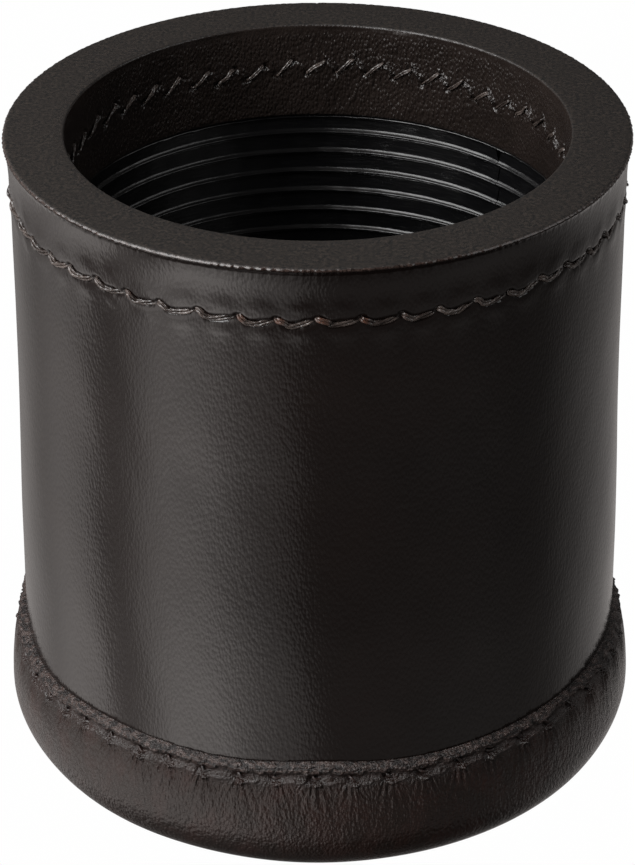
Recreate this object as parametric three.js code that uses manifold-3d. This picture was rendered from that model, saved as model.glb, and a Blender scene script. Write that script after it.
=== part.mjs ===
// A stitched leather dice cup: a leather sleeve over a board tube, lined with ribbed rubber below a
// leather collar, and closed by a wet-moulded leather base that is sewn round the foot of the sleeve.
// Millimetres, +Z up. The origin is the middle of the underside, where the cup stands.

import * as THREE from "three";
import { mergeVertices } from "three/addons/utils/BufferGeometryUtils.js";
import Module from "manifold-3d";

// Driving dimensions.
const HEIGHT = 95.3; // over everything, 3.75 in
const RIM_RADIUS = 42.4; // outside of the mouth
const MOUTH_RADIUS = 34.1; // inside of the leather collar
const GAP = 0.3; // glue line between neighbouring pieces

// Layers of the wall, from the outside in.
const WAIST_RADIUS = 41.65; // outside of the sleeve at half height
const FOOT_SPREAD = 0.45; // how much wider the sleeve is at its foot than at the waist
const SPREAD_START = 30; // depth below the rim where the sleeve begins to widen again
const SPREAD_END = 62; // and where it has its full foot width
const FLARE_LENGTH = 2.6; // depth in which the rim flare dies away
const FLARE_FACET = 3.5; // depth of the facet that follows the flare
const SLEEVE_INSIDE = 39.3;
const CORE_OUTSIDE = SLEEVE_INSIDE - GAP;
const CORE_INSIDE = 36.4;
const COLLAR_OUTSIDE = CORE_INSIDE - GAP;

// Rounded corners of the mouth.
const RIM_OUTER_ROUND = 0.5;
const RIM_INNER_ROUND = 0.45;

// Collar and ribbed lining.
const COLLAR_DEPTH = 14.2;
const RIB_PITCH = 3.1;
const RIB_COUNT = 22;
const RIB_LIP_RADIUS = 34.3;
const RIB_ROOT_RADIUS = 35.4;
const RIB_UNDERCUT = 0.35; // height of the step under each lip
const FIRST_LIP_DEPTH = 17.0; // below the rim

// Moulded base.
const BASE_TOP = 21.1; // cut edge of the base leather
const BASE_TOP_RADIUS = 43.1;
const BULGE_RADIUS = 44.45; // widest place of the whole cup
const BULGE_HEIGHT = 10.3;
const BULGE_FACET = 14; // height of the facet between the bulge and the base seam
const CORNER_WIDTH = 13.0; // rounding of the foot, measured inwards
const BASE_LEATHER = 2.2;
const BASE_FLAT_RADIUS = BULGE_RADIUS - CORNER_WIDTH;

// Bottom stack inside the base leather.
const PAD_TOP = 6.2;
const BOARD_TOP = 9.7;
const TUBE_FOOT = BOARD_TOP + GAP; // the sleeve and the core stand on the board
const FLOOR_THICKNESS = 1.8;
const FLOOR_TOP = TUBE_FOOT + FLOOR_THICKNESS;

// Stitching.
const THREAD = 1.0;
const GROOVE_WIDTH = 2.4;
const GROOVE_SLOPE = 0.4; // height of each sloping side of a groove
const OUTER_GROOVE = -0.8; // from the face to the floor of the groove, outwards positive
const COLLAR_GROOVE = 0.9;
const CORE_GROOVE = -1.2;
const RIM_STITCHES = 50;
const RIM_SEAM = HEIGHT - 8.0;
const COLLAR_SEAM = HEIGHT - 6.7; // the same holes, driven through at a slant, on the inside
const BASE_STITCHES = 53;
const BASE_SEAM = 18.7;
const SUNK = 0.1; // how far the inner thread sits below the face of the collar
const STITCH_RISE = 0.45; // how far a stitch climbs either side of its seam line
const STEEP_PART = 0.3; // share of the pitch taken by the short steep strand
const HIDDEN_THREAD_RADIUS = 38.55; // back of the base seam, between the sleeve and the core

// Butt joints of the wrapped layers, as angles from +X.
const SLEEVE_JOINT = 90;
const COLLAR_JOINT = -90;
const LINING_JOINT = 42.4;

// Facets.
const WALL_SIDES = 48;
const WALL_BANDS = 4; // facets of the sleeve between its two seams
const ROUND_STEPS = 3; // steps in each rounded corner of the mouth
const FOOT_STEPS = 6; // steps in the outside of the rounded foot
const INNER_FOOT_STEPS = 4; // steps in the inside of it and in the pad
const LINING_SIDES = 32;
const THREAD_SIDES = 4;

const wasm = await Module();
wasm.setup();

const material = (color, roughness) =>
  new THREE.MeshStandardMaterial({ color, roughness, metalness: 0 });
const BROWN_LEATHER = material(0x2b201d, 0.42);
const BASE_LEATHER_FINISH = material(0x33221d, 0.48);
const COLLAR_LEATHER = material(0x241a18, 0.5);
const EDGE_BOARD = material(0x3a2d29, 0.7);
const FIBRE_BOARD = material(0x7a5c3e, 0.85);
const CORK = material(0xa07a4c, 0.9);
const RUBBER = material(0x121212, 0.55);
const WAXED_THREAD = material(0x5a3f33, 0.6);

// Points of an elliptical arc from one angle to another, in degrees.
function arc(centreR, centreZ, width, height, from, to, steps) {
  return Array.from({ length: steps + 1 }, (_, i) => {
    const angle = THREE.MathUtils.degToRad(from + ((to - from) * i) / steps);
    return [centreR + width * Math.cos(angle), centreZ + height * Math.sin(angle)];
  });
}

// A closed (radius, height) outline, listed anticlockwise, turned about the Z axis.
function turned(outline, sides) {
  const points = outline.map(([radius, height]) => new THREE.Vector2(radius, height));
  if (points[0].x > 0) points.push(points[0].clone());
  return new THREE.LatheGeometry(points, sides).rotateX(Math.PI / 2);
}

// A geometry as a manifold-3d solid.
function solid(geometry) {
  const bare = geometry.clone();
  bare.deleteAttribute("normal");
  bare.deleteAttribute("uv");
  const merged = mergeVertices(bare, 1e-4);
  return new wasm.Manifold(
    new wasm.Mesh({
      numProp: 3,
      vertProperties: merged.attributes.position.array,
      triVerts: new Uint32Array(merged.index.array),
    }),
  );
}

// A manifold-3d solid as a geometry.
function geometryOf(body) {
  const mesh = body.getMesh();
  const geometry = new THREE.BufferGeometry();
  geometry.setAttribute("position", new THREE.BufferAttribute(mesh.vertProperties, 3));
  geometry.setIndex(new THREE.BufferAttribute(mesh.triVerts, 1));
  geometry.computeVertexNormals();
  return geometry;
}

// Cuts the butt joint of a layer that is a strip bent into a ring.
function withButtJoint(geometry, degrees) {
  const knife = new THREE.BoxGeometry(RIM_RADIUS, GAP, 2 * HEIGHT);
  knife.translate(RIM_RADIUS / 2 + MOUTH_RADIUS / 2, 0, HEIGHT / 2);
  knife.rotateZ(THREE.MathUtils.degToRad(degrees));
  return geometryOf(solid(geometry).subtract(solid(knife)));
}

// Outside of the sleeve: flared at the rim, waisted, and spread a little at the foot.
function sleeveRadius(z) {
  const depth = HEIGHT - z;
  const flare = (RIM_RADIUS - WAIST_RADIUS) * Math.exp(-depth / FLARE_LENGTH);
  return WAIST_RADIUS + flare + FOOT_SPREAD * THREE.MathUtils.smoothstep(depth, SPREAD_START, SPREAD_END);
}

// Outside of the base leather between its cut edge and the widest place.
function baseRadius(z) {
  const drop = (BASE_TOP - z) / (BASE_TOP - BULGE_HEIGHT);
  return BASE_TOP_RADIUS + (BULGE_RADIUS - BASE_TOP_RADIUS) * Math.sin((drop * Math.PI) / 2);
}

// Three sides of a square groove that a seam lies in, listed downwards.
function groove(faceAt, depthOfGroove, z) {
  const top = z + GROOVE_WIDTH / 2;
  const bottom = z - GROOVE_WIDTH / 2;
  const floor = faceAt(z) + depthOfGroove;
  return [
    [faceAt(top), top],
    [floor, top - GROOVE_SLOPE],
    [floor, bottom + GROOVE_SLOPE],
    [faceAt(bottom), bottom],
  ];
}

function outerSleeve() {
  const roundTop = HEIGHT - RIM_OUTER_ROUND;
  const top = arc(
    RIM_RADIUS - RIM_OUTER_ROUND, roundTop, RIM_OUTER_ROUND, RIM_OUTER_ROUND, 90, 0, ROUND_STEPS,
  );
  const wallHeights = Array.from(
    { length: WALL_BANDS },
    (_, i) => RIM_SEAM + ((BASE_TOP - RIM_SEAM) * (i + 1)) / WALL_BANDS,
  );
  const outline = [
    [SLEEVE_INSIDE, HEIGHT],
    ...top,
    [sleeveRadius(HEIGHT - FLARE_FACET), HEIGHT - FLARE_FACET],
    ...groove(sleeveRadius, OUTER_GROOVE, RIM_SEAM),
    ...wallHeights.map((z) => [sleeveRadius(z), z]),
    [sleeveRadius(TUBE_FOOT), TUBE_FOOT],
    [SLEEVE_INSIDE, TUBE_FOOT],
  ];
  return withButtJoint(turned(outline.reverse(), WALL_SIDES), SLEEVE_JOINT);
}

function coreTube() {
  const outline = [
    [CORE_INSIDE, HEIGHT],
    [CORE_OUTSIDE, HEIGHT],
    ...groove(() => CORE_OUTSIDE, CORE_GROOVE, BASE_SEAM),
    [CORE_OUTSIDE, TUBE_FOOT],
    [CORE_INSIDE, TUBE_FOOT],
  ];
  return turned(outline.reverse(), WALL_SIDES);
}

function mouthCollar() {
  const roundTop = HEIGHT - RIM_INNER_ROUND;
  const top = arc(
    MOUTH_RADIUS + RIM_INNER_ROUND, roundTop, RIM_INNER_ROUND, RIM_INNER_ROUND, 90, 180,
    ROUND_STEPS,
  );
  const outline = [
    [COLLAR_OUTSIDE, HEIGHT],
    ...top,
    ...groove(() => MOUTH_RADIUS, COLLAR_GROOVE, COLLAR_SEAM),
    [MOUTH_RADIUS, HEIGHT - COLLAR_DEPTH],
    [COLLAR_OUTSIDE, HEIGHT - COLLAR_DEPTH],
  ];
  return withButtJoint(turned(outline, WALL_SIDES), COLLAR_JOINT);
}

// Each rib slopes inwards on its way down, ends in a sharp lip, and steps back under it.
function ribbedLining() {
  const foot = FLOOR_TOP + GAP;
  const ribs = Array.from({ length: RIB_COUNT }, (_, i) => {
    const lip = HEIGHT - FIRST_LIP_DEPTH - i * RIB_PITCH;
    return [
      [RIB_LIP_RADIUS, lip],
      [RIB_ROOT_RADIUS, lip - RIB_UNDERCUT],
    ];
  }).flat();
  const outline = [
    [COLLAR_OUTSIDE, HEIGHT - COLLAR_DEPTH - GAP],
    [RIB_ROOT_RADIUS, HEIGHT - COLLAR_DEPTH - GAP],
    ...ribs,
    [RIB_ROOT_RADIUS, foot],
    [COLLAR_OUTSIDE, foot],
  ];
  return withButtJoint(turned(outline, LINING_SIDES), LINING_JOINT);
}

function floorDisc() {
  const outline = [
    [0, TUBE_FOOT],
    [COLLAR_OUTSIDE, TUBE_FOOT],
    [COLLAR_OUTSIDE, FLOOR_TOP],
    [0, FLOOR_TOP],
  ];
  return turned(outline, LINING_SIDES);
}

// Radius of the space inside the rounded foot of the base leather, less a glue line.
function footRadius(z) {
  const width = CORNER_WIDTH - BASE_LEATHER - GAP;
  const height = BULGE_HEIGHT - BASE_LEATHER - GAP;
  const rise = Math.min(1, (BULGE_HEIGHT - z) / height);
  return BASE_FLAT_RADIUS + width * Math.sqrt(1 - rise * rise);
}

// A disc whose edge follows the rounded foot between two heights.
function footDisc(bottom, top, steps) {
  const edge = Array.from({ length: steps + 1 }, (_, i) => {
    const z = bottom + ((top - bottom) * i) / steps;
    return [footRadius(z), z];
  });
  return turned([[0, bottom], ...edge, [0, top]], WALL_SIDES);
}

function baseCup() {
  const inside = BULGE_RADIUS - BASE_LEATHER;
  const outerCorner = arc(
    BASE_FLAT_RADIUS, BULGE_HEIGHT, CORNER_WIDTH, BULGE_HEIGHT, -90, 0, FOOT_STEPS,
  );
  const innerCorner = arc(
    BASE_FLAT_RADIUS, BULGE_HEIGHT, inside - BASE_FLAT_RADIUS, BULGE_HEIGHT - BASE_LEATHER, 0, -90,
    INNER_FOOT_STEPS,
  );
  const outline = [
    [0, 0],
    ...outerCorner,
    [baseRadius(BULGE_FACET), BULGE_FACET],
    ...groove(baseRadius, OUTER_GROOVE, BASE_SEAM).reverse(),
    [BASE_TOP_RADIUS, BASE_TOP],
    [inside, BASE_TOP],
    ...innerCorner,
    [0, BASE_LEATHER],
  ];
  return turned(outline, WALL_SIDES);
}

// One seam's thread on one side of the leather: a ring that drops steeply through each stitch hole
// and climbs slowly to the next one. A negative rise mirrors it for the other side of the leather.
function seamThread(radius, z, stitches, rise) {
  const ring = new THREE.TorusGeometry(radius, THREAD / 2, THREAD_SIDES, 2 * stitches);
  const position = ring.attributes.position;
  const pitch = (2 * Math.PI) / stitches;
  const point = new THREE.Vector3();
  for (let i = 0; i < position.count; i += 1) {
    const step = i % (2 * stitches + 1);
    const odd = step % 2;
    const turn = (odd ? STEEP_PART - 0.5 : 0) * pitch;
    point.fromBufferAttribute(position, i);
    point.applyAxisAngle(new THREE.Vector3(0, 0, 1), turn);
    point.z += z + (odd ? -rise : rise);
    position.setXYZ(i, point.x, point.y, point.z);
  }
  return ring;
}

const cup = new THREE.Group();

function add(name, geometry, finish) {
  const mesh = new THREE.Mesh(geometry, finish);
  mesh.name = name;
  cup.add(mesh);
}

add("outer_sleeve", outerSleeve(), BROWN_LEATHER);
add("core_tube", coreTube(), EDGE_BOARD);
add("mouth_collar", mouthCollar(), COLLAR_LEATHER);
add("ribbed_lining", ribbedLining(), RUBBER);
add("floor_disc", floorDisc(), RUBBER);
add("base_board", footDisc(PAD_TOP + GAP, BOARD_TOP, INNER_FOOT_STEPS), FIBRE_BOARD);
add("base_pad", footDisc(BASE_LEATHER + GAP, PAD_TOP, INNER_FOOT_STEPS), CORK);
add("base_cup", baseCup(), BASE_LEATHER_FINISH);

const seams = [
  ["rim_seam_outer_thread", sleeveRadius(RIM_SEAM), RIM_SEAM, RIM_STITCHES, STITCH_RISE],
  ["rim_seam_inner_thread", MOUTH_RADIUS + SUNK, COLLAR_SEAM, RIM_STITCHES, -STITCH_RISE],
  ["base_seam_outer_thread", baseRadius(BASE_SEAM), BASE_SEAM, BASE_STITCHES, STITCH_RISE],
  ["base_seam_inner_thread", HIDDEN_THREAD_RADIUS, BASE_SEAM, BASE_STITCHES, -STITCH_RISE],
];
for (const [name, radius, z, stitches, rise] of seams)
  add(name, seamThread(radius, z, stitches, rise), WAXED_THREAD);

export default cup;
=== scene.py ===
import math
import bpy
import numpy as np
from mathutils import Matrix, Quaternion, Vector


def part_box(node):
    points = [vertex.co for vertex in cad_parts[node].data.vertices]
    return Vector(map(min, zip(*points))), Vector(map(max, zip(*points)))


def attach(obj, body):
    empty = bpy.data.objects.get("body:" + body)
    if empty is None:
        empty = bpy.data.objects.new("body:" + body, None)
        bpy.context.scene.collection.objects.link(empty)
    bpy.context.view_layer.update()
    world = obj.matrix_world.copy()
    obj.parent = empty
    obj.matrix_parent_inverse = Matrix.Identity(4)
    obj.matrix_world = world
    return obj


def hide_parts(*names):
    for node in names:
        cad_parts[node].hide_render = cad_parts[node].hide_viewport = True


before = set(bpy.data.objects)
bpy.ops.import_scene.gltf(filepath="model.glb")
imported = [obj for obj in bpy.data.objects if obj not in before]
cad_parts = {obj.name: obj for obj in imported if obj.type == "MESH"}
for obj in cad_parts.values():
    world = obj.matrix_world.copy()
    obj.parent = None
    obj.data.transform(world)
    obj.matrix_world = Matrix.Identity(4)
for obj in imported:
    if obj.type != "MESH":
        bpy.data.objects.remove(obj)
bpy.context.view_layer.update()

# A stitched leather dice cup. Shapes are worked out in millimetres and written in metres.
MM = 0.001


# ---------------------------------------------------------------- sizes, from the frame

def top(node):
    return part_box(node)[1].z / MM


def foot(node):
    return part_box(node)[0].z / MM


def reach(node):
    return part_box(node)[1].x / MM


HEIGHT = top("outer_sleeve")
RIM_RADIUS = reach("outer_sleeve")
RIM_SEAM = (top("rim_seam_outer_thread") + foot("rim_seam_outer_thread")) / 2
BASE_SEAM = (top("base_seam_outer_thread") + foot("base_seam_outer_thread")) / 2
BASE_TOP = top("base_cup")
BULGE_RADIUS = reach("base_cup")
TUBE_FOOT = foot("core_tube")
FLOOR_TOP = top("floor_disc")
COLLAR_FOOT = foot("mouth_collar")
COLLAR_BACK = reach("mouth_collar")
CORE_BACK = reach("core_tube")
GLUE = (TUBE_FOOT - top("base_board")) / 2  # half of the gap between neighbouring CAD layers

MOUTH_RADIUS = 34.1
WAIST_RADIUS = 41.65   # the sleeve just below its flared rim
FOOT_SPREAD = 0.45     # how much wider the sleeve is at its foot
FLARE_LENGTH = 2.6
RIM_ROUND = 0.55
MOUTH_ROUND = 0.38
LIP_BEVEL = 0.9
BASE_TOP_RADIUS = 43.1
INNER_SEAM = HEIGHT - 6.7
BULGE_HEIGHT = 10.3
CORNER_WIDTH = 13.0    # of the rounded corner under the base, measured inwards
BASE_LEATHER = 2.2
FLAT_RADIUS = BULGE_RADIUS - CORNER_WIDTH
PINCH_HEIGHT = 18.6    # where the base leather is drawn in most
RIB_PITCH = 3.1
RIB_COUNT = 22
FIRST_LIP = HEIGHT - 17.0
RIB_LIP_RADIUS = 34.3
RIB_ROOT_RADIUS = 35.4

# The cut edge of the base leather stands higher or lower, in millimetres.
EDGE_DROP = 1.1        # all round
SIDE_RISE = 1.3        # at the left and right
FRONT_RISE = 0.8       # at the front
LEFT_DIP = 1.6         # on the front left

RIM_STITCHES = 50
BASE_STITCHES = 53
FRONT = -math.pi / 2
BACK = math.pi / 2
RIM_PHASE = FRONT + math.radians(0.7)
BASE_PHASE = FRONT - math.radians(1.0)
SLEEVE_JOINT = BACK
LINING_JOINT = math.radians(42.4)
CRUSHED_SIDE = math.radians(25)         # where the seam puckers the collar most
RUBBED_SIDE = FRONT - math.radians(8)   # where a hand has worn the rim stitches
DIPPED_SIDE = FRONT - 1.16              # where the cut edge of the base leather dips
STITCH_STEPS = 30
THREAD_SIDES = 8


# ---------------------------------------------------------------- meshes

def new_mesh(name, points, faces, attributes=None, uv=None):
    """A smooth-shaded object from points in millimetres, with point attributes and face-corner UVs."""
    mesh = bpy.data.meshes.new(name)
    mesh.from_pydata(points * MM, [], faces)
    for key, values in (attributes or {}).items():
        layer = mesh.attributes.new(key, "FLOAT", "POINT")
        layer.data.foreach_set("value", np.ascontiguousarray(values, np.float32).ravel())
    if uv is not None:
        layer = mesh.uv_layers.new(name="along")
        layer.data.foreach_set("uv", np.ascontiguousarray(uv, np.float32).ravel())
    mesh.polygons.foreach_set("use_smooth", np.ones(len(mesh.polygons), bool))
    mesh.update()
    mesh.set_sharp_from_angle(angle=math.radians(55))
    piece = bpy.data.objects.new(name, mesh)
    bpy.context.scene.collection.objects.link(piece)
    return piece


def turned(name, outline, sides, relief=None, joint=None, gap=0.0, lift=None):
    """A closed outline of (radius, height, skin) turned about Z, listed anticlockwise.

    relief(angle, height) gives the outward shift and any point attributes; the shift acts in
    proportion to a row's skin. lift(angle, height) moves points up or down afterwards. With a
    joint angle the ring is a bent strip whose two ends face each other across the gap. An
    outline that starts and ends on the axis is closed by poles."""
    rows = np.array(outline, float)
    poles = rows[0, 0] == 0
    ring = rows[1:-1] if poles else rows
    count = len(ring)
    if joint is None:
        angles = BACK + np.arange(sides) * 2 * math.pi / sides
    else:
        half = gap / 2 / ring[:, 0].max()
        angles = joint + np.linspace(half, 2 * math.pi - half, sides)
    angle, radius = np.meshgrid(angles, ring[:, 0])
    height = np.repeat(ring[:, 1:2], sides, axis=1)
    skin = np.repeat(ring[:, 2:3], sides, axis=1)
    marks = {}
    if relief:
        shift, marks = relief(angle, height)
        radius = radius + skin * shift
    if lift:
        height = height + lift(angle, height)
    points = np.stack([radius * np.cos(angle), radius * np.sin(angle), height], -1).reshape(-1, 3)
    marks = {key: np.broadcast_to(values, radius.shape).ravel() for key, values in marks.items()}

    i = np.arange(count - 1 if poles else count)[:, None]
    j = np.arange(sides if joint is None else sides - 1)[None, :]
    after_i = (i + 1) % count
    after_j = (j + 1) % sides
    corners = [i * sides + j, i * sides + after_j, after_i * sides + after_j, after_i * sides + j]
    faces = np.stack(np.broadcast_arrays(*corners), -1).reshape(-1, 4).tolist()
    if joint is not None:
        faces.append([k * sides for k in range(count)][::-1])
        faces.append([k * sides + sides - 1 for k in range(count)])
    if poles:
        low, high = len(points), len(points) + 1
        points = np.vstack([points, [0, 0, rows[0, 1]], [0, 0, rows[-1, 1]]])
        marks = {key: np.append(values, [0, 0]) for key, values in marks.items()}
        last = (count - 1) * sides
        faces += [[low, (k + 1) % sides, k] for k in range(sides)]
        faces += [[high, last + k, last + (k + 1) % sides] for k in range(sides)]
    return new_mesh(name, points, faces, marks)


def arc(centre, middle, width, height, start, end, steps, skin=0.0):
    """Points (radius, height, skin) of an elliptical arc, angles in degrees."""
    turns = np.radians(np.linspace(start, end, steps + 1))
    return [(centre + width * math.cos(t), middle + height * math.sin(t), skin) for t in turns]


def heights(low, high, coarse, fine=0.25, seam=None, spread=3.2):
    """Heights from low to high, close together near a seam."""
    found, z = [], low
    while z < high - 0.05:
        found.append(z)
        near = seam is not None and abs(z - seam) < spread
        z += fine if near else coarse
    return found + [high]


def smooth(low, high, value):
    """0 below low, 1 above high, and eased in between."""
    t = np.clip((value - low) / (high - low), 0, 1)
    return t * t * (3 - 2 * t)


def bump(distance, width):
    """1 at no distance, fading out within about twice the width."""
    return np.exp(-((distance / width) ** 2))


def turn_from(start, angle):
    """The turn from start to angle, between half a turn back and half a turn on."""
    return (angle - start + math.pi) % (2 * math.pi) - math.pi


def between_holes(along, pitch):
    """0 at a stitch hole and 1 halfway to the next."""
    return 0.5 - 0.5 * np.cos(2 * math.pi * along / pitch)


def uneven(angle, height, seed, turns, per_mm):
    """Gentle random swells that close round the cup, about 1 high."""
    rng = np.random.default_rng(seed)
    total = np.zeros(np.broadcast(angle, height).shape)
    for _ in range(8):
        around = rng.integers(1, turns + 1)
        upward = rng.uniform(-per_mm, per_mm)
        total += np.sin(around * angle + upward * height + rng.uniform(0, 2 * math.pi))
    return total / 3


# ---------------------------------------------------------------- seams

class Seam:
    """The holes of one seam: their angles, heights, and how hard each stitch is pulled."""

    def __init__(self, count, height, phase, seed, wander=0.13):
        rng = np.random.default_rng(seed)
        self.count = count
        self.pitch = 2 * math.pi / count
        self.angles = phase + (np.arange(count) + rng.normal(0, 0.035, count)) * self.pitch
        self.heights = height + rng.normal(0, wander, count)
        self.pull = rng.uniform(0.7, 1.3, count)
        self.phase = phase

    def near(self, angle, height, radius):
        """Distance along and up from the nearest hole in millimetres, its pull and its number."""
        nearest = np.round((angle - self.phase) / self.pitch).astype(int) % self.count
        turn = turn_from(self.angles[nearest], angle)
        return turn * radius, height - self.heights[nearest], self.pull[nearest], nearest


rim_seam = Seam(RIM_STITCHES, RIM_SEAM, RIM_PHASE, 11)
collar_seam = Seam(RIM_STITCHES, INNER_SEAM, RIM_PHASE, 12, 0.25)
base_seam = Seam(BASE_STITCHES, BASE_SEAM + 0.3, BASE_PHASE, 23)


def sleeve_radius(height):
    depth = HEIGHT - height
    flare = (RIM_RADIUS - WAIST_RADIUS) * np.exp(-depth / FLARE_LENGTH)
    return WAIST_RADIUS + flare + FOOT_SPREAD * smooth(30, 62, depth)


def base_radius(height):
    drop = (BASE_TOP - height) / (BASE_TOP - BULGE_HEIGHT)
    return BASE_TOP_RADIUS + (BULGE_RADIUS - BASE_TOP_RADIUS) * np.sin(drop * math.pi / 2)


def joint_line(angle, joint, radius):
    """A fine groove where the two ends of a leather strip meet."""
    return bump(turn_from(joint, angle) * radius, 0.16)


# The rim thread over one stitch: (share of the pitch, height above the holes), and how hard it presses.
RIM_THREAD_RISE = [(0, 0.34), (0.1, -0.2), (0.2, -0.42), (0.42, -0.32), (0.66, -0.1), (0.84, 0.06), (1, 0.34)]
RIM_THREAD_PRESS = [(0, 0.5), (0.15, 1), (0.65, 0.9), (0.85, 0.3), (1, 0.5)]


def sleeve_relief(angle, height):
    """Stitch holes, the shallow channel between them, and the hand-made unevenness of the wall."""
    along, up, pull, _ = rim_seam.near(angle, height, WAIST_RADIUS)
    pitch = rim_seam.pitch * WAIST_RADIUS
    hole = pull * bump(along + 0.55, 0.4) * bump(up - 0.45, 0.35)
    share = (along / pitch) % 1
    rise = np.interp(share, *zip(*RIM_THREAD_RISE))
    channel = bump(up - rise, 0.42) * np.interp(share, *zip(*RIM_THREAD_PRESS))
    between = between_holes(along, pitch)
    swell = 0.08 * between * bump(up + 1.6, 1.2) + 0.07 * between * bump(up - 1.7, 1.2)
    joint = joint_line(angle, SLEEVE_JOINT, WAIST_RADIUS)
    shift = -0.30 * hole - 0.36 * channel + swell - 0.25 * joint
    fray = smooth(HEIGHT - 1.0, HEIGHT - 0.4, height)
    shift = shift + 0.045 * fray * uneven(angle, height, 7, 330, 0.8)
    shift = shift + 0.03 * uneven(angle, height, 5, 9, 0.12) + 0.012 * uneven(angle, height, 6, 40, 0.5)
    # The colour mark returned here is painted shade: it darkens the stitch holes and the channel between
    # them, and the joint line too.
    return shift, {"dent": np.clip(0.7 * hole + 0.3 * channel + joint, 0, 1)}


def collar_relief(angle, height):
    """The same seam from inside, where the thread draws the leather into ridges and puckers."""
    along, up, pull, nearest = collar_seam.near(angle, height, MOUTH_RADIUS)
    hole = pull * bump(along + 1.4, 0.45) * bump(up - 0.85, 0.45)
    hole = hole + pull * bump(along - 1.3, 0.45) * bump(up + 0.9, 0.45)
    crushed = 0.35 + 0.65 * smooth(0.2, 0.75, np.cos(angle - CRUSHED_SIDE))
    channel = bump(along + 1.2 * up, 0.4) * bump(up, 1.0)
    fan = np.cos(2 * math.pi * along / (0.55 + 0.3 * np.abs(up)) + 1.7 * nearest)
    pucker = 0.10 * fan * bump(np.abs(up) - 1.1, 1.0) * bump(along, 1.7)
    share = (along / (collar_seam.pitch * MOUTH_RADIUS)) % 1
    wave = 0.16 * np.sin(along * 5.0 + 1.9 * nearest)
    slope = np.interp(share, [0.28, 0.45, 0.60, 0.70], [-0.95, 0.05, 0.45, 0.90]) + wave
    reach_in = smooth(0.24, 0.32, share) * (1 - smooth(0.68, 0.76, share))
    crease = 0.42 * reach_in * bump(up - slope, 0.24)
    fold = 0.26 * reach_in * bump(up - slope - 0.75, 0.22)
    shift = 0.4 * hole + 0.15 * channel + crushed * (pucker - crease - fold)
    shift = shift + 0.06 * uneven(angle, height, 8, 14, 0.3) + 0.03 * uneven(angle, height, 9, 60, 1.5)
    # The first colour mark is painted shade in the stitch holes.
    return shift, {"dent": np.clip(hole, 0, 1), "crush": crushed * bump(up, 1.9)}


def edge_lift(angle, height):
    """The hand-cut top edge of the base leather strays up and down round the cup."""
    turn = turn_from(FRONT, angle)
    stray = SIDE_RISE * np.sin(turn) ** 2 + FRONT_RISE * bump(turn, 0.21) - EDGE_DROP
    stray = stray - LEFT_DIP * bump(turn_from(DIPPED_SIDE, angle), 0.28)
    return stray * smooth(BULGE_HEIGHT + 2, BASE_SEAM - 1, height)


def cut_edge_relief(angle, height):
    """The torn and layered cut edge of the base leather, with a split that runs along it."""
    edge = smooth(BASE_TOP - 1.7, BASE_TOP - 1.1, height)
    torn = 0.13 * uneven(angle, height, 43, 110, 2.0) + 0.09 * uneven(angle, height, 44, 420, 9.0)
    layer = np.sin(2 * math.pi * height / 0.46 + 2.2 * uneven(angle, height, 45, 60, 0.5))
    layer = 0.13 * layer * np.clip(uneven(angle, height, 46, 120, 2.0), 0, 1)
    split = BASE_TOP - 0.60 + 0.09 * uneven(angle, height, 47, 70, 0.1)
    return edge * (torn + layer - 0.16 * bump(height - split, 0.12))


def base_relief(angle, height):
    """The base leather drawn in hard by its stitches, with wrinkles that fan out below each one."""
    along, up, pull, nearest = base_seam.near(angle, height, BASE_TOP_RADIUS)
    pitch = base_seam.pitch * BASE_TOP_RADIUS
    below = np.clip(-up, 0, None)
    between = between_holes(along, pitch)
    hole = pull * bump(along + 0.3, 0.6) * bump(up - 0.15, 0.4)
    ragged = 0.24 * uneven(angle, height, 42, 160, 0.3)
    channel = bump(up - 0.35 - 0.25 * between - ragged, 0.48)
    gathered = pull * bump(along - 0.2, 0.5) * bump(below - 0.65, 0.33)
    share = ((along - 0.2) / pitch) % 1
    crescent = smooth(0, 0.12, share) * (1 - smooth(0.65, 0.95, share))
    scallop = crescent * bump(below - 0.65 + 0.7 * share - 0.5 * ragged, 0.2)
    fan_across = along / (0.36 + 0.14 * below) + 7.3 * nearest
    fan = np.cos(2 * math.pi * along / (0.55 + 0.22 * below) + 2.4 * nearest)
    fan = pull * fan * bump(along, 1.0 + 0.45 * below) * np.exp(-below / 2.4) * smooth(0.4, 0.9, below)
    shift = -0.42 * hole - 0.44 * channel + 0.50 * gathered + 0.18 * scallop + 0.15 * fan
    pinch = 0.30 * (1 - 0.55 * between) * bump(height - PINCH_HEIGHT, 1.2)
    shift = shift - pinch + 0.05 * uneven(angle, height, 41, 11, 0.25)
    shift = shift + cut_edge_relief(angle, height)
    marks = {
        # The first mark is painted shade, a redder and slightly darker brown in the stitch holes and the
        # groove.
        "dent": np.clip(hole + 0.8 * channel, 0, 1),
        "fan": fan_across,
        "cut": smooth(BASE_TOP - 2.2, BASE_TOP - 0.4, height),
        "dull": np.clip(0.8 * channel + 0.9 * between * bump(below - 0.6, 0.4), 0, 1),
        "wrinkled": np.exp(-below / 3.2) * smooth(0.1, 0.9, below) * (0.35 + 0.65 * bump(along, 1.7)),
        "stretched": np.exp(-below / 9.0),
    }
    return shift, marks


# ---------------------------------------------------------------- leather and rubber pieces

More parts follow.
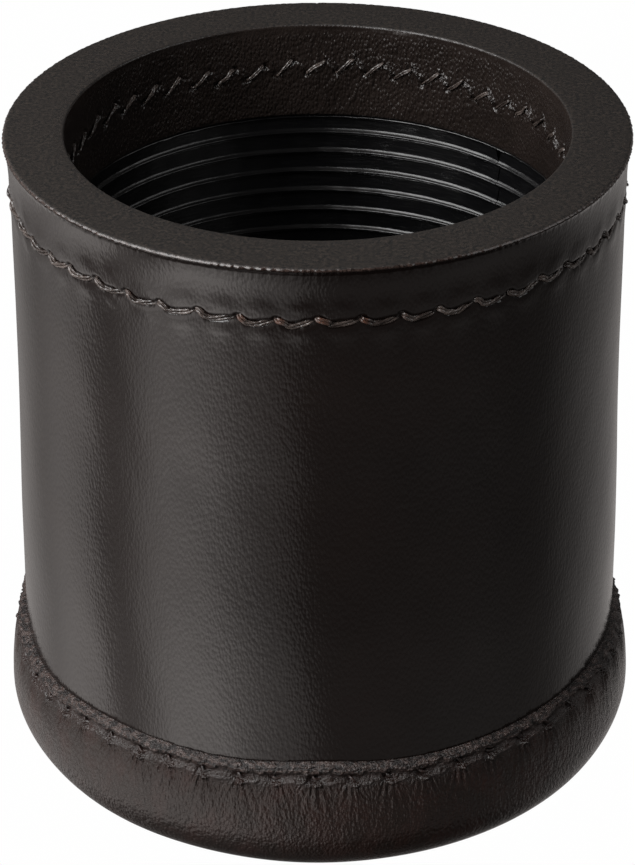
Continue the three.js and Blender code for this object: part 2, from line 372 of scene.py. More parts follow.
def leather_sleeve():
    """The outer leather, from the foot of the tube to the rounded and frayed corner of the rim."""
    inner = CORE_BACK + GLUE
    round_top = HEIGHT - RIM_ROUND
    outline = [(inner, TUBE_FOOT, 0)]
    for z in heights(TUBE_FOOT, round_top, 1.2, 0.2, RIM_SEAM):
        outline.append((float(sleeve_radius(z)), z, 1))
    outline += arc(RIM_RADIUS - RIM_ROUND, round_top, RIM_ROUND, RIM_ROUND, 0, 90, 8, 1)[1:]
    outline += [(r, HEIGHT, 0) for r in np.linspace(RIM_RADIUS - RIM_ROUND, inner, 5)[1:]]
    outline += [(inner, z, 0) for z in (HEIGHT - 20, HEIGHT / 2, 30)]
    return turned("leather_sleeve", outline, RIM_STITCHES * 24, sleeve_relief)


def rim_board():
    """The core tube, of which only the dyed top edge shows."""
    inner, outer = COLLAR_BACK + GLUE, CORE_BACK + GLUE
    outline = [(inner, TUBE_FOOT, 0), (outer, TUBE_FOOT, 0)]
    outline += [(r, HEIGHT, 0) for r in np.linspace(outer, inner, 4)]
    return turned("rim_board", outline, 360)


def leather_collar():
    """The leather band inside the mouth, rounded at the top and at its cut lower edge."""
    outer = COLLAR_BACK + GLUE
    round_top = HEIGHT - MOUTH_ROUND
    outline = [(outer, COLLAR_FOOT, 0), (outer, HEIGHT, 0)]
    outline += arc(MOUTH_RADIUS + MOUTH_ROUND, round_top, MOUTH_ROUND, MOUTH_ROUND, 90, 180, 6)
    low = COLLAR_FOOT + 0.4
    for z in reversed(heights(low, round_top - 0.2, 0.5, 0.16, INNER_SEAM, 3.2)):
        outline.append((MOUTH_RADIUS, z, 1))
    outline += arc(MOUTH_RADIUS + 0.4, low, 0.4, 0.4, 180, 270, 4, 0.6)[1:]
    return turned("leather_collar", outline, RIM_STITCHES * 24, collar_relief)


def ribbed_rubber():
    """Sawtooth ribs: each slopes inwards going down to a rounded lip and steps back under it."""
    ceiling = COLLAR_FOOT - 0.02
    floor = FLOOR_TOP + GLUE
    outline = [(COLLAR_BACK, floor, 0), (COLLAR_BACK, ceiling, 0), (RIB_ROOT_RADIUS - 0.4, ceiling, 0)]
    outline += arc(RIB_LIP_RADIUS + 0.35, ceiling - 0.35, 0.25, 0.2, 90, 270, 4, 1)
    outline += [(RIB_ROOT_RADIUS - 0.15, ceiling - 0.7, 1)]
    for k in range(RIB_COUNT):
        lip = FIRST_LIP - k * RIB_PITCH
        outline += [(RIB_ROOT_RADIUS - 0.2, lip + 2.6, 1), (RIB_ROOT_RADIUS - 0.25, lip + 2.4, 1)]
        outline += [(RIB_LIP_RADIUS + 0.52, lip + 0.6, 1), (RIB_LIP_RADIUS + 0.46, lip + 0.36, 1)]
        outline += arc(RIB_LIP_RADIUS + 0.2, lip, 0.2, 0.2, 110, 270, 6, 1)
        outline += [(RIB_ROOT_RADIUS - 0.1, lip - 0.2, 1), (RIB_ROOT_RADIUS, lip - 0.4, 1)]
    outline += [(RIB_ROOT_RADIUS, floor, 0)]

    def relief(angle, height):
        end = np.minimum(angle - LINING_JOINT, LINING_JOINT + 2 * math.pi - angle) * RIB_ROOT_RADIUS
        lift = 0.10 * bump(end, 1.6) * (angle - LINING_JOINT < 1)
        shift = 0.05 * uneven(angle, height, 51, 13, 0.8) + 0.02 * uneven(angle, height, 52, 60, 3)
        return shift - lift, {}

    return turned("ribbed_rubber", outline, 720, relief, joint=LINING_JOINT, gap=0.07)


def rubber_floor():
    """The disc that the dice land on."""
    edge = COLLAR_BACK
    outline = [(0, TUBE_FOOT, 0), (edge, TUBE_FOOT, 0)]
    outline += arc(edge - 0.3, FLOOR_TOP - 0.3, 0.3, 0.3, 0, 90, 3)
    outline += [(r, FLOOR_TOP, 0) for r in (30, 20, 10)] + [(0, FLOOR_TOP, 0)]
    return turned("rubber_floor", outline, 240)


def leather_base():
    """A leather bowl: flat below, bulged at the corner, and drawn in to a thin cut edge."""
    inside = BULGE_RADIUS - BASE_LEATHER
    lip = float(sleeve_radius(BASE_TOP)) - 0.05
    outline = [(0, 0, 0)]
    outline += [(r, 0, 0) for r in (10, 20, 27)]
    corner = arc(FLAT_RADIUS, BULGE_HEIGHT, CORNER_WIDTH, BULGE_HEIGHT, -90, 0, 30, 1)
    outline += [(r, z, min(k / 9, 1)) for k, (r, z, _) in enumerate(corner)]
    shoulder = BASE_TOP - LIP_BEVEL
    for z in heights(BULGE_HEIGHT, shoulder, 0.3, 0.13, BASE_SEAM, 2.6)[1:]:
        outline.append((float(base_radius(z)), z, 1))
    depth = float(base_radius(shoulder)) - lip
    for up in np.linspace(0, 1, 15)[1:]:
        outline.append((lip + depth * (1 - up**2.2), shoulder + LIP_BEVEL * up, 1 - 0.7 * up))
    outline += [(lip + 0.1, BASE_TOP - 4, 0), (inside, BULGE_HEIGHT, 0)]
    inner_corner = (inside - FLAT_RADIUS, BULGE_HEIGHT - BASE_LEATHER)
    outline += arc(FLAT_RADIUS, BULGE_HEIGHT, *inner_corner, 0, -90, 8)[1:]
    outline += [(0, BASE_LEATHER, 0)]
    return turned("leather_base", outline, BASE_STITCHES * 36, base_relief, lift=edge_lift)


# ---------------------------------------------------------------- threads

def smooth_path(knots, steps):
    """A Catmull-Rom curve through knots (count, 3), sampled evenly in its own parameter."""
    knots = np.array(knots, float)
    padded = np.vstack([2 * knots[0] - knots[1], knots, 2 * knots[-1] - knots[-2]])
    t = np.linspace(0, len(knots) - 1 - 1e-6, steps)
    k = t.astype(int)
    f = (t - k)[:, None]
    a, b, c, d = padded[k], padded[k + 1], padded[k + 2], padded[k + 3]
    bend = (2 * a - 5 * b + 4 * c - d) * f**2 + (3 * b - a - 3 * c + d) * f**3
    return 0.5 * (2 * b + (c - a) * f + bend)


def tubes(name, paths, radii, sides, tone):
    """Closed tubes along paths (tubes, steps, 3), one radius per step and one tone per tube."""
    count, steps = paths.shape[:2]
    tangent = np.gradient(paths, axis=1)
    tangent /= np.linalg.norm(tangent, axis=2, keepdims=True)
    across = np.cross(tangent, [0, 0, 1.0])
    across /= np.linalg.norm(across, axis=2, keepdims=True)
    upward = np.cross(across, tangent)
    turn = np.arange(sides) * 2 * math.pi / sides
    ring = across[:, :, None] * np.cos(turn)[:, None] + upward[:, :, None] * np.sin(turn)[:, None]
    points = paths[:, :, None] + ring * radii[:, :, None, None]
    n, i, j = np.meshgrid(np.arange(count), np.arange(steps - 1), np.arange(sides), indexing="ij")
    start = (n * steps + i) * sides
    after = (j + 1) % sides
    corners = [start + j, start + sides + j, start + sides + after, start + after]
    faces = np.stack(corners, -1).reshape(-1, 4)
    gaps = np.linalg.norm(np.diff(paths, axis=1), axis=2)
    along = np.concatenate([np.zeros((count, 1)), np.cumsum(gaps, 1)], 1)
    u = np.stack([j, j, j + 1, j + 1], -1) / sides
    v = np.stack([along[n, i], along[n, i + 1], along[n, i + 1], along[n, i]], -1)
    uv = np.stack([u, v], -1).reshape(-1, 2)
    caps = []
    for k in range(count):
        first = k * steps * sides
        last = first + (steps - 1) * sides
        caps.append(list(range(first, first + sides)))
        caps.append(list(range(last, last + sides))[::-1])
    uv = np.vstack([uv, np.zeros((2 * count * sides, 2))])
    shape = points.shape[:3]
    share = np.broadcast_to(np.linspace(0, 1, steps)[None, :, None], shape)
    tone = np.broadcast_to(tone[:, None, None], shape)
    return new_mesh(name, points.reshape(-1, 3), faces.tolist() + caps, {"share": share, "tone": tone}, uv)


def stitches(name, seam, face, inwards, knots, plies, ply, spread, turns, rubbed=0.0, lift=None, seed=3):
    """Twisted stitches laid over a seam.

    Each knot is (share of the pitch, millimetres up, millimetres out) from the stitch's first hole.
    Each stitch has the given plies of radius ply, which circle at spread round its middle line."""
    rng = np.random.default_rng(seed)
    paths, tones = [], []
    for k in range(seam.count):
        wobble = rng.normal(0, 0.06, (len(knots), 3)) * [0.4, 1, 0.4]
        after = (k + 1) % seam.count
        width = (seam.angles[after] - seam.angles[k]) % (2 * math.pi)
        path = smooth_path(np.array(knots) + wobble, STITCH_STEPS)
        angle = seam.angles[k] + path[:, 0] * width
        height = path[:, 1] + seam.heights[k] + (seam.heights[after] - seam.heights[k]) * path[:, 0]
        if lift:
            height = height + lift(angle, height)
        radius = face + (-path[:, 2] if inwards else path[:, 2])
        middle = np.stack([radius * np.cos(angle), radius * np.sin(angle), height], -1)
        out = np.stack([np.cos(angle), np.sin(angle), 0 * angle], -1) * (-1 if inwards else 1)
        tangent = np.gradient(middle, axis=0)
        tangent /= np.linalg.norm(tangent, axis=1, keepdims=True)
        side = np.cross(tangent, out)
        side /= np.linalg.norm(side, axis=1, keepdims=True) + 1e-9
        t = np.linspace(0, 1, STITCH_STEPS)
        twist = turns * 2 * math.pi * (t - 0.5) + rng.normal(0, 0.25)
        on_rubbed_side = 0.5 + 0.5 * math.cos(seam.angles[k] - RUBBED_SIDE)
        tone = rubbed * rng.uniform(0.35, 1) * on_rubbed_side**8
        for turn in np.arange(plies) * 2 * math.pi / plies:
            swing = np.cos(twist + turn)[:, None] * side + np.sin(twist + turn)[:, None] * out
            paths.append(middle + spread * swing)
            tones.append(tone)
    paths = np.array(paths)
    taper = 1.15 - 0.35 * np.linspace(0, 1, STITCH_STEPS)
    radii = ply * taper * (1 + 0.05 * rng.normal(size=paths.shape[:2]))
    return tubes(name, paths, radii, THREAD_SIDES, np.array(tones))


RIM_KNOTS = [
    (-0.12, 0.56, -1.4), (-0.10, 0.52, -0.5), (-0.04, 0.36, -0.06), (0.08, -0.12, 0.02),
    (0.18, -0.42, -0.06), (0.40, -0.36, -0.18), (0.62, -0.12, -0.26), (0.78, 0.08, -0.46),
    (0.88, 0.18, -0.85), (0.90, 0.20, -1.4),
]
COLLAR_KNOTS = [
    (-0.30, 1.00, -1.3), (-0.28, 0.95, -0.2), (-0.20, 0.70, 0.06), (0.0, 0.0, 0.10),
    (0.20, -0.72, 0.06), (0.26, -0.98, -0.2), (0.28, -1.03, -1.3),
]
BASE_KNOTS = [
    (-0.10, 0.50, -1.8), (-0.08, 0.42, -1.15), (-0.02, 0.14, -0.72), (0.06, -0.16, -0.66),
    (0.20, -0.12, -0.90), (0.44, 0.14, -1.05), (0.66, 0.26, -1.05), (0.84, 0.28, -1.1),
    (0.92, 0.30, -1.4), (0.93, 0.32, -1.8),
]


# ---------------------------------------------------------------- materials

# Linear base colours. Where there are two, they are the dark and the light of one surface.
SLEEVE_BROWNS = (0.0045, 0.0026, 0.0022), (0.0072, 0.0042, 0.0035)
# Painted shade for the sleeve's stitch holes and the channel between them.
SLEEVE_RECESS_SHADE = (0.003, 0.0015, 0.001)
# Partly real wear and partly a painted highlight along the rim's outer corner.
RUBBED_CORNER_AND_HIGHLIGHT = (0.060, 0.041, 0.035)
COLLAR_BROWNS = (0.011, 0.0080, 0.0068), (0.0185, 0.0134, 0.0114)
# Painted shade for the collar's stitch holes.
COLLAR_RECESS_SHADE = (0.004, 0.002, 0.0015)
DYE_FIBRES = (0.0015, 0.0010, 0.0008), (0.0240, 0.0178, 0.0138)
DYE_PATCH = (0.0105, 0.0075, 0.0058)
RAW_BOARD = (0.12, 0.08, 0.05)
BASE_BROWNS = (0.010, 0.0056, 0.0044), (0.016, 0.0088, 0.0068)
BASE_BLOTCH = (0.026, 0.011, 0.0086)
# Painted shade for the base's stitch holes and groove: a redder brown.
BASE_RECESS_SHADE = (0.016, 0.0078, 0.0063)
RAW_FLESH = (0.005, 0.0022, 0.0018), (0.062, 0.043, 0.038)
RUBBER_GREYS = (0.0025, 0.0025, 0.0028), (0.007, 0.007, 0.007)
THREAD_GREYS = (0.022, 0.0165, 0.0145), (0.085, 0.068, 0.060)
# A darker copy of the thread's colours: painted shade for the base stitches that lie in the groove.
SHADED_THREAD_BROWNS = (0.010, 0.0055, 0.0046), (0.028, 0.0150, 0.0125)
WORN_THREAD = (0.105, 0.042, 0.024)
BOARD_BROWNS = (0.16, 0.10, 0.05), (0.30, 0.19, 0.10)
CORK_BROWNS = (0.24, 0.14, 0.07), (0.45, 0.28, 0.14)

DYE_ROUGHNESS = 0.68
BOARD_ROUGHNESS = 0.8


def node(tree, kind, inputs=None, **settings):
    """Adds a shader node, sets its settings, and links or sets its inputs."""
    made = tree.nodes.new("ShaderNode" + kind)
    for key, value in settings.items():
        setattr(made, key, value)
    for key, value in (inputs or {}).items():
        if isinstance(value, bpy.types.NodeSocket):
            tree.links.new(value, made.inputs[key])
        elif hasattr(value, "__len__") and len(value) == 3 and len(made.inputs[key].default_value) == 4:
            made.inputs[key].default_value = (*value, 1)
        else:
            made.inputs[key].default_value = value
    return made


def new_material(name):
    """A material with only a Principled shader, its node tree and that shader."""
    made = bpy.data.materials.new(name)
    made.use_nodes = True
    tree = made.node_tree
    tree.nodes.clear()
    shader = node(tree, "BsdfPrincipled")
    node(tree, "OutputMaterial", {"Surface": shader.outputs[0]})
    return made, tree, shader


def combine(tree, operation, *values):
    """One Math node."""
    return node(tree, "Math", dict(enumerate(values)), operation=operation).outputs[0]


def weighted(tree, *terms):
    """The sum of (weight, value) pairs."""
    total = 0.0
    for weight, value in terms:
        total = node(tree, "Math", {0: value, 1: weight, 2: total}, operation="MULTIPLY_ADD").outputs[0]
    return total


def blend(tree, share, first, second):
    """One Mix node for colours."""
    return node(tree, "Mix", {0: share, 6: first, 7: second}, data_type="RGBA").outputs[2]


def blend_value(tree, share, first, second):
    """One Mix node for plain values."""
    return node(tree, "Mix", {0: share, 2: first, 3: second}, data_type="FLOAT").outputs[0]


def noise(tree, place, scale, detail=4.0, roughness=0.55):
    """Cloudy noise from 0 to 1; the scale is in features per metre."""
    settings = {"Vector": place, "Scale": scale, "Detail": detail, "Roughness": roughness}
    return node(tree, "TexNoise", settings).outputs[0]


def stretched(tree, place, stretch):
    """Scaled coordinates: a factor below 1 draws a pattern out along that axis."""
    return node(tree, "Mapping", {"Vector": place, "Scale": stretch}).outputs[0]


def ramp(tree, value, low, high):
    """0 where the value is at low, 1 where it is at high."""
    limits = {"Value": value, "From Min": low, "From Max": high}
    return node(tree, "MapRange", limits, clamp=True).outputs[0]


def pebbles(tree, place, scale):
    """Rounded leather grain: 1 on the pebbles, 0 in the creases between them."""
    cells = {"Vector": place, "Scale": scale, "Smoothness": 0.4}
    far = node(tree, "TexVoronoi", cells, feature="SMOOTH_F1").outputs["Distance"]
    return combine(tree, "SUBTRACT", 1.0, far)


def mark(tree, name):
    """A point attribute of the mesh."""
    return node(tree, "Attribute", attribute_name=name).outputs["Fac"]


def finish(tree, shader, colour, rough, relief):
    """Plugs colour, roughness and a bump, relief in millimetres, into the shader."""
    tree.links.new(colour, shader.inputs["Base Color"])
    tree.links.new(rough, shader.inputs["Roughness"])
    lift = node(tree, "Bump", {"Height": relief, "Strength": 1.0, "Distance": MM})
    tree.links.new(lift.outputs[0], shader.inputs["Normal"])


def painted_rim(tree, place, height, colour, rough, relief, calmed=0.7, depth=0.9):
    """The burnished, mottled edge dye on the cup's top face.

    It also calms the relief, by the share calmed, from the given depth below the top upwards."""
    ragged = weighted(tree, (0.35 * MM, noise(tree, place, 1500, 5, 0.7)))
    level = combine(tree, "ADD", height, ragged)
    mask = ramp(tree, level, (HEIGHT - 0.02) * MM, (HEIGHT + 0.12) * MM)
    fibre = noise(tree, place, 1900, 2, 0.6)
    patch = noise(tree, place, 420, 4, 0.6)
    dye = blend(tree, ramp(tree, fibre, 0.40, 0.62), *DYE_FIBRES)
    dye = blend(tree, ramp(tree, patch, 0.40, 0.75), dye, DYE_PATCH)
    calm = ramp(tree, height, (HEIGHT - depth) * MM, (HEIGHT - depth / 3) * MM)
    relief = combine(tree, "MULTIPLY", relief, weighted(tree, (-calmed, calm), (1.0, 1.0)))
    relief = weighted(tree, (1.0, relief), (0.06, combine(tree, "MULTIPLY", fibre, mask)))
    return blend(tree, mask, colour, dye), blend_value(tree, mask, rough, DYE_ROUGHNESS), relief


def worn_and_highlit_corner(tree, place, height):
    """1 where the corner of the rim is rubbed through, in specks. The lighter colour laid there is partly
    real wear and partly a painted highlight along the corner.
    """
    speck = noise(tree, place, 2600, 4, 0.7)
    level = combine(tree, "ADD", height, weighted(tree, (0.25 * MM, speck)))
    above = ramp(tree, level, (HEIGHT - 0.28) * MM, (HEIGHT - 0.08) * MM)
    below = ramp(tree, height, (HEIGHT - 0.02) * MM, (HEIGHT - 0.07) * MM)
    rubbed = combine(tree, "MULTIPLY", above, below)
    return combine(tree, "MULTIPLY", rubbed, ramp(tree, speck, 0.35, 0.6))


def sleeve_leather():
    """Smooth waxed leather with a fine upright grain that breaks up its reflections."""
    made, tree, shader = new_material("sleeve_leather")
    place = node(tree, "TexCoord").outputs["Object"]
    height = node(tree, "SeparateXYZ", {"Vector": place}).outputs["Z"]
    cloud = noise(tree, place, 55, 6)
    grain = pebbles(tree, stretched(tree, place, (1, 1, 0.5)), 2800)
    pores = noise(tree, stretched(tree, place, (1, 1, 0.5)), 3600, 3, 0.6)
    swirl = noise(tree, stretched(tree, place, (1, 1, 0.35)), 620, 4)
    colour = blend(tree, ramp(tree, cloud, 0.3, 0.7), *SLEEVE_BROWNS)
    # Painted shade: darker in the stitch holes and the channel.
    colour = blend(tree, weighted(tree, (0.7, mark(tree, "dent"))), colour, SLEEVE_RECESS_SHADE)
    # Rubbed specks on the corner, also lightened as a painted highlight line.
    colour = blend(tree, worn_and_highlit_corner(tree, place, height), colour, RUBBED_CORNER_AND_HIGHLIGHT)
    rough = weighted(tree, (0.08, cloud), (0.08, pores), (1.0, 0.05))
    relief = weighted(tree, (0.018, grain), (0.007, pores), (0.010, swirl))
    dyed = painted_rim(tree, place, height, colour, rough, relief, calmed=0.3)
    finish(tree, shader, *dyed)
    return made


def collar_leather():
    """Pebbled leather, crushed into bright creases beside the stitches."""
    made, tree, shader = new_material("collar_leather")
    place = node(tree, "TexCoord").outputs["Object"]
    height = node(tree, "SeparateXYZ", {"Vector": place}).outputs["Z"]
    cloud = noise(tree, place, 90, 6)
    grain = pebbles(tree, stretched(tree, place, (1, 1, 0.6)), 2700)
    pores = noise(tree, stretched(tree, place, (1, 1, 0.5)), 3800, 4, 0.65)
    creases = noise(tree, stretched(tree, place, (1, 1, 0.5)), 1100, 4, 0.6)
    colour = blend(tree, ramp(tree, cloud, 0.3, 0.7), *COLLAR_BROWNS)
    # Painted shade: darker in the stitch holes.
    colour = blend(tree, weighted(tree, (0.5, mark(tree, "dent"))), colour, COLLAR_RECESS_SHADE)
    rough = weighted(tree, (0.10, cloud), (0.08, pores), (1.0, 0.16))
    crushed = combine(tree, "MULTIPLY", creases, weighted(tree, (2.6, mark(tree, "crush"))))
    relief = weighted(tree, (0.21, grain), (0.05, pores), (0.05, crushed))
    dyed = painted_rim(tree, place, height, colour, rough, relief, calmed=0.8, depth=1.8)
    finish(tree, shader, *dyed)
    return made


def edge_dye():
    """The layers' cut edges, dyed and burnished flush on the cup's top face."""
    made, tree, shader = new_material("edge_dye")
    place = node(tree, "TexCoord").outputs["Object"]
    height = node(tree, "SeparateXYZ", {"Vector": place}).outputs["Z"]
    fibres = weighted(tree, (0.05, noise(tree, place, 1500, 6, 0.7)))
    dyed = painted_rim(tree, place, height, RAW_BOARD, BOARD_ROUGHNESS, fibres)
    finish(tree, shader, *dyed)
    return made


def base_leather():
    """Thick moulded leather: a raw cut edge, wrinkles fanned out by the stitches, pebbles below."""
    made, tree, shader = new_material("base_leather")
    place = node(tree, "TexCoord").outputs["Object"]
    height = node(tree, "SeparateXYZ", {"Vector": place}).outputs["Z"]
    cloud = noise(tree, place, 70, 6)
    blotch = noise(tree, stretched(tree, place, (1, 1, 0.6)), 260, 5)
    upright = noise(tree, stretched(tree, place, (1, 1, 0.3)), 3300, 3, 0.6)
    grain = pebbles(tree, stretched(tree, place, (1, 1, 0.7)), 2300)
    pores = noise(tree, place, 4200, 4, 0.65)
    fan = node(tree, "CombineXYZ", {0: mark(tree, "fan"), 1: weighted(tree, (260.0, height))}).outputs[0]
    rays = noise(tree, fan, 1.5, 2, 0.5)
    colour = blend(tree, ramp(tree, cloud, 0.3, 0.7), *BASE_BROWNS)
    colour = blend(tree, ramp(tree, blotch, 0.45, 0.75), colour, BASE_BLOTCH)
    # Painted shade: a redder brown in the stitch holes and the groove.
    colour = blend(tree, weighted(tree, (0.85, mark(tree, "dent"))), colour, BASE_RECESS_SHADE)

    strands = noise(tree, stretched(tree, place, (1, 1, 2.2)), 1000, 4, 0.65)
    ragged = weighted(tree, (0.6, noise(tree, place, 700, 5, 0.7)), (1.0, mark(tree, "cut")))
    raw = ramp(tree, ragged, 0.5, 0.8)
    flesh = blend(tree, ramp(tree, strands, 0.44, 0.60), *RAW_FLESH)
    colour = blend(tree, raw, colour, flesh)
    creases = ramp(tree, grain, 0.62, 0.50)
    dull = mark(tree, "dull")
    rough = weighted(tree, (0.08, cloud), (0.06, pores), (0.06, creases), (0.38, dull), (1.0, 0.07))
    matte = combine(tree, "MULTIPLY", raw, ramp(tree, strands, 0.60, 0.50))
    rough = weighted(tree, (0.24, matte), (1.0, rough))
    wrinkles = combine(tree, "MULTIPLY", rays, mark(tree, "wrinkled"))
    grown = combine(tree, "MULTIPLY", upright, mark(tree, "stretched"))
    fibres = combine(tree, "MULTIPLY", strands, raw)
    relief = weighted(tree, (0.10, grain), (0.05, pores), (0.60, wrinkles), (0.26, grown), (0.26, fibres))
    finish(tree, shader, colour, rough, relief)
    return made


def black_rubber():
    """Dark moulded rubber, satin, with dusty streaks along the ribs."""
    made, tree, shader = new_material("black_rubber")
    place = node(tree, "TexCoord").outputs["Object"]
    cloud = noise(tree, place, 180, 6)
    dust = noise(tree, stretched(tree, place, (0.5, 0.5, 5)), 650, 6, 0.7)
    colour = blend(tree, ramp(tree, dust, 0.5, 0.8), *RUBBER_GREYS)
    rough = weighted(tree, (0.10, cloud), (0.12, dust), (1.0, 0.10))
    finish(tree, shader, colour, rough, weighted(tree, (0.04, dust)))
    return made


def waxed_thread(name, dark, light, rough):
    """Waxed thread with spiral fibres, worn to orange-brown on the first bend of a rubbed stitch."""
    made, tree, shader = new_material(name)
    split = node(tree, "SeparateXYZ", {"Vector": node(tree, "UVMap", uv_map="along").outputs[0]})
    across, along = split.outputs["X"], split.outputs["Y"]
    spiral = weighted(tree, (8 * math.pi, across), (7.0, along))
    fibres = combine(tree, "SINE", spiral)
    place = node(tree, "TexCoord").outputs["Object"]
    fuzz = noise(tree, place, 4200, 4, 0.7)
    patch = noise(tree, place, 330, 2)
    from_bend = combine(tree, "ABSOLUTE", combine(tree, "SUBTRACT", mark(tree, "share"), 0.24))
    bend = combine(tree, "SUBTRACT", 1.0, ramp(tree, from_bend, 0.01, 0.10))
    worn = combine(tree, "MULTIPLY", bend, ramp(tree, mark(tree, "tone"), 0.4, 0.8))
    worn = combine(tree, "MULTIPLY", worn, ramp(tree, fuzz, 0.35, 0.65))
    grey = blend(tree, ramp(tree, patch, 0.35, 0.65), dark, light)
    colour = blend(tree, worn, grey, WORN_THREAD)
    relief = weighted(tree, (0.012, fibres), (0.018, fuzz))
    finish(tree, shader, colour, weighted(tree, (0.20, fuzz), (1.0, rough)), relief)
    return made


def granules(name, dark, light, scale):
    """Pressed board or cork."""
    made, tree, shader = new_material(name)
    place = node(tree, "TexCoord").outputs["Object"]
    cells = node(tree, "TexVoronoi", {"Vector": place, "Scale": scale}).outputs["Distance"]
    mixed = weighted(tree, (0.6, cells), (0.6, noise(tree, place, scale * 2, 6)))
    colour = blend(tree, ramp(tree, mixed, 0.25, 0.8), dark, light)
    finish(tree, shader, colour, ramp(tree, mixed, -3.0, 1.2), weighted(tree, (0.2, mixed)))
    return made


# ---------------------------------------------------------------- camera, light and floor

def add_camera():
    elevation = math.radians(29.62)
    distance = 530.4
    aim = Vector((-0.18, 0, 47.83))
    back = Vector((0, -math.cos(elevation), math.sin(elevation)))
    data = bpy.data.cameras.new("camera")
    data.lens = 156.75
    data.sensor_width = 36
    data.clip_start = 0.01
    camera = bpy.data.objects.new("camera", data)
    camera.location = (aim + back * distance) * MM
    camera.rotation_mode = "QUATERNION"
    tilt = Quaternion((0, 0, 1), math.radians(-0.22))
    camera.rotation_quaternion = (-back).to_track_quat("-Z", "Y") @ tilt
    bpy.context.scene.collection.objects.link(camera)
    bpy.context.scene.camera = camera


# How bright the light tent is round the cup: (degrees from the front, to the right, brightness).
TENT = [
    (-180, 0.25), (-150, 0.45), (-129, 0.46), (-112, 0.96), (-97, 1.10), (-90, 0.50), (-78, 0.46),
    (-69, 1.20), (-62, 1.70), (-44, 1.70), (-36, 1.20), (-24, 0.68), (-12, 0.46), (-4, 0.15), (10, 0.145),
    (60, 0.16), (84, 0.12), (97, 0.125), (112, 0.23), (127, 0.32), (145, 0.36), (165, 0.40), (180, 0.30),
]
TENT_SLANT = 12      # degrees by which its lower part is turned
TENT_LEVEL = 0.65    # the middle band's share of those brightnesses
TENT_UPPER = -0.52   # added to that share high up
TENT_LOWER = 0.80    # added low down
TENT_UNDER = -1.32   # and added under the cup
TENT_GLOW = 0.40     # and added in a patch at the front left
TENT_ROOF = 0.05     # brightness straight above


def light_tent():
    """A soft tent: bright on the left, dim in front and on the right, and faintly lit above."""
    world = bpy.data.worlds.new("tent")
    bpy.context.scene.world = world
    world.use_nodes = True
    tree = world.node_tree
    tree.nodes.clear()
    split = node(tree, "SeparateXYZ", {"Vector": node(tree, "TexCoord").outputs["Generated"]})
    x, y, z = split.outputs  # where a ray points, each from -1 to 1
    angle = combine(tree, "ARCTAN2", x, combine(tree, "MULTIPLY", y, -1.0))
    slant = ramp(tree, z, -0.60, -0.42)
    turn = weighted(tree, (0.5 / math.pi, angle), (TENT_SLANT / 360, slant), (1.0, 0.5 - TENT_SLANT / 720))
    cloth = node(tree, "ValToRGB", {"Fac": turn})
    peak = max(level for _, level in TENT)
    stops = cloth.color_ramp.elements
    for degrees, _ in TENT[1:-1]:
        stops.new(degrees / 360 + 0.5)
    for stop, (_, level) in zip(stops, TENT):
        stop.color = (level / peak,) * 3 + (1,)
    upper = ramp(tree, z, 0.05, 0.45)
    lower = ramp(tree, z, -0.44, -0.60)
    under = ramp(tree, z, -0.60, -0.84)
    glow = combine(tree, "MULTIPLY", ramp(tree, angle, -1.35, -1.15), ramp(tree, angle, -0.35, -0.70))
    glow = combine(tree, "MULTIPLY", glow, ramp(tree, z, -0.45, -0.38))
    bands = ((TENT_UPPER, upper), (TENT_LOWER, lower), (TENT_UNDER, under), (TENT_GLOW, glow))
    share = weighted(tree, *bands, (1.0, TENT_LEVEL))
    walls = combine(tree, "MULTIPLY", weighted(tree, (peak, cloth.outputs[0])), share)
    level = weighted(tree, (TENT_ROOF, ramp(tree, z, 0.45, 0.95)), (1.0, walls))
    background = node(tree, "Background", {"Color": (1.0, 0.94, 0.91), "Strength": level})
    node(tree, "OutputWorld", {"Surface": background.outputs[0]})


def soft_box(name, azimuth, elevation, distance, size, watts):
    """A rectangular area light aimed at the cup; azimuth is from the front, to the right."""
    data = bpy.data.lights.new(name, "AREA")
    data.shape = "RECTANGLE"
    data.size, data.size_y = size
    data.energy = watts
    lamp = bpy.data.objects.new(name, data)
    a, e = math.radians(azimuth), math.radians(elevation)
    back = Vector((math.sin(a) * math.cos(e), -math.cos(a) * math.cos(e), math.sin(e)))
    lamp.location = back * distance + Vector((0, 0, HEIGHT / 2 * MM))
    lamp.rotation_mode = "QUATERNION"
    lamp.rotation_quaternion = back.to_track_quat("Z", "Y")
    lamp.visible_camera = False
    bpy.context.scene.collection.objects.link(lamp)


def add_backdrop():
    """A seamless white floor that curves up into the walls, seen only by the camera."""
    floor_radius, bend, wall = 2500.0, 600.0, 3500.0
    outline = [(0, 0, 0), (floor_radius, 0, 0)]
    outline += arc(floor_radius, bend, bend, bend, -80, 0, 8)
    outline += [(floor_radius + bend, wall, 0), (floor_radius + bend + 50, wall, 0)]
    outline += arc(floor_radius, bend, bend + 50, bend + 50, 0, -90, 8)
    outline += [(0, -50, 0)]
    floor = turned("studio_backdrop", outline[::-1], 64)
    floor.location.z = -0.05 * MM
    made = bpy.data.materials.new("backdrop_white")
    made.use_nodes = True
    tree = made.node_tree
    tree.nodes.clear()
    place = node(tree, "TexCoord").outputs["Object"]
    shade = blend(tree, noise(tree, place, 3), (1.0, 1.0, 1.0), (0.99, 0.99, 0.99))
    glow = node(tree, "Emission", {"Color": shade, "Strength": 1.0})
    node(tree, "OutputMaterial", {"Surface": glow.outputs[0]})
    floor.data.materials.append(made)
    floor.visible_glossy = False
    floor.visible_diffuse = False
    floor.visible_shadow = False


# ---------------------------------------------------------------- the object

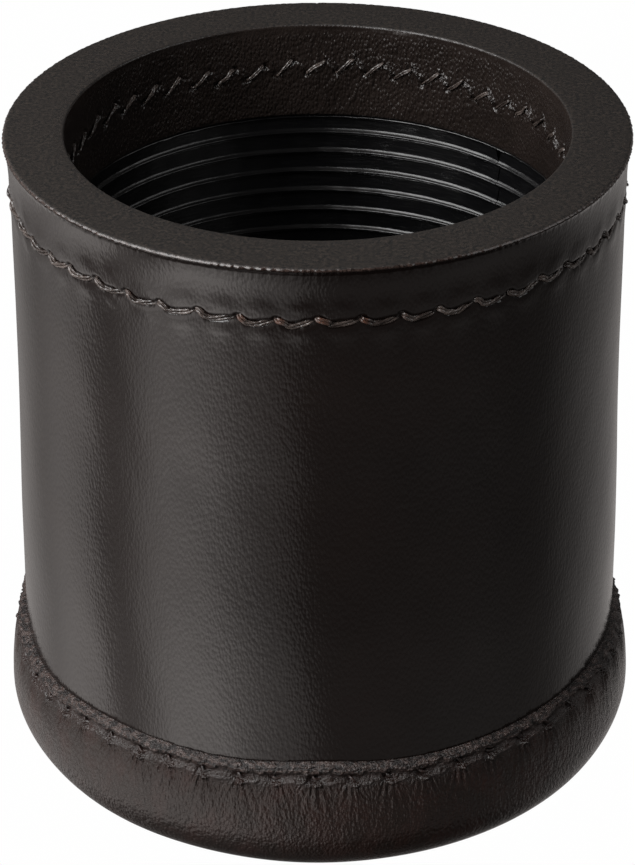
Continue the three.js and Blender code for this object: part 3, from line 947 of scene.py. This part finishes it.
def fit(piece, material, slot, *nodes):
    """Gives a piece its material, attaches it to the root body and hides the CAD nodes that it replaces. The
    slot is not used.
    """
    piece.data.materials.append(material)
    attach(piece, "root")
    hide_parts(*nodes)


rubber = black_rubber()
thread = waxed_thread("waxed_thread", *THREAD_GREYS, rough=0.06)
# Painted shade: the base's outer stitches get a darker copy of the same waxed thread.
shaded_base_thread = waxed_thread("waxed_thread_shaded", *SHADED_THREAD_BROWNS, rough=0.3)

fit(leather_sleeve(), sleeve_leather(), "sleeve_leather", "outer_sleeve")
fit(rim_board(), edge_dye(), "leather_board", "core_tube")
fit(leather_collar(), collar_leather(), "collar_leather", "mouth_collar")
fit(ribbed_rubber(), rubber, "lining_rubber", "ribbed_lining")
fit(rubber_floor(), rubber, "lining_rubber", "floor_disc")
fit(leather_base(), base_leather(), "base_leather", "base_cup")

rim_face = float(sleeve_radius(RIM_SEAM))
base_face = float(base_radius(BASE_SEAM))
fit(
    stitches("rim_stitches", rim_seam, rim_face, False, RIM_KNOTS,
             plies=3, ply=0.20, spread=0.22, turns=0.8, rubbed=1.0),
    thread, "waxed_thread", "rim_seam_outer_thread",
)
fit(
    stitches("collar_stitches", collar_seam, MOUTH_RADIUS, True, COLLAR_KNOTS,
             plies=2, ply=0.16, spread=0.14, turns=0.6, seed=4),
    thread, "waxed_thread", "rim_seam_inner_thread",
)
fit(
    stitches("base_stitches", base_seam, base_face, False, BASE_KNOTS,
             plies=2, ply=0.20, spread=0.17, turns=0.6, lift=edge_lift, seed=5),
    shaded_base_thread, "waxed_thread", "base_seam_outer_thread",
)

# The hidden pieces keep their CAD shape and only get a material.
for name, material in (
    ("base_board", granules("fibre_board", *BOARD_BROWNS, scale=900)),
    ("base_pad", granules("cork", *CORK_BROWNS, scale=420)),
    ("base_seam_inner_thread", thread),
):
    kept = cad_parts[name]
    kept.data.materials.clear()
    kept.data.materials.append(material)

add_backdrop()
add_camera()
light_tent()
soft_box("fill", azimuth=78, elevation=33, distance=0.5, size=(0.40, 0.25), watts=0.42)
soft_box("key", azimuth=-65, elevation=42, distance=0.42, size=(0.50, 0.24), watts=2.8)
bpy.context.scene.view_settings.view_transform = "Standard"
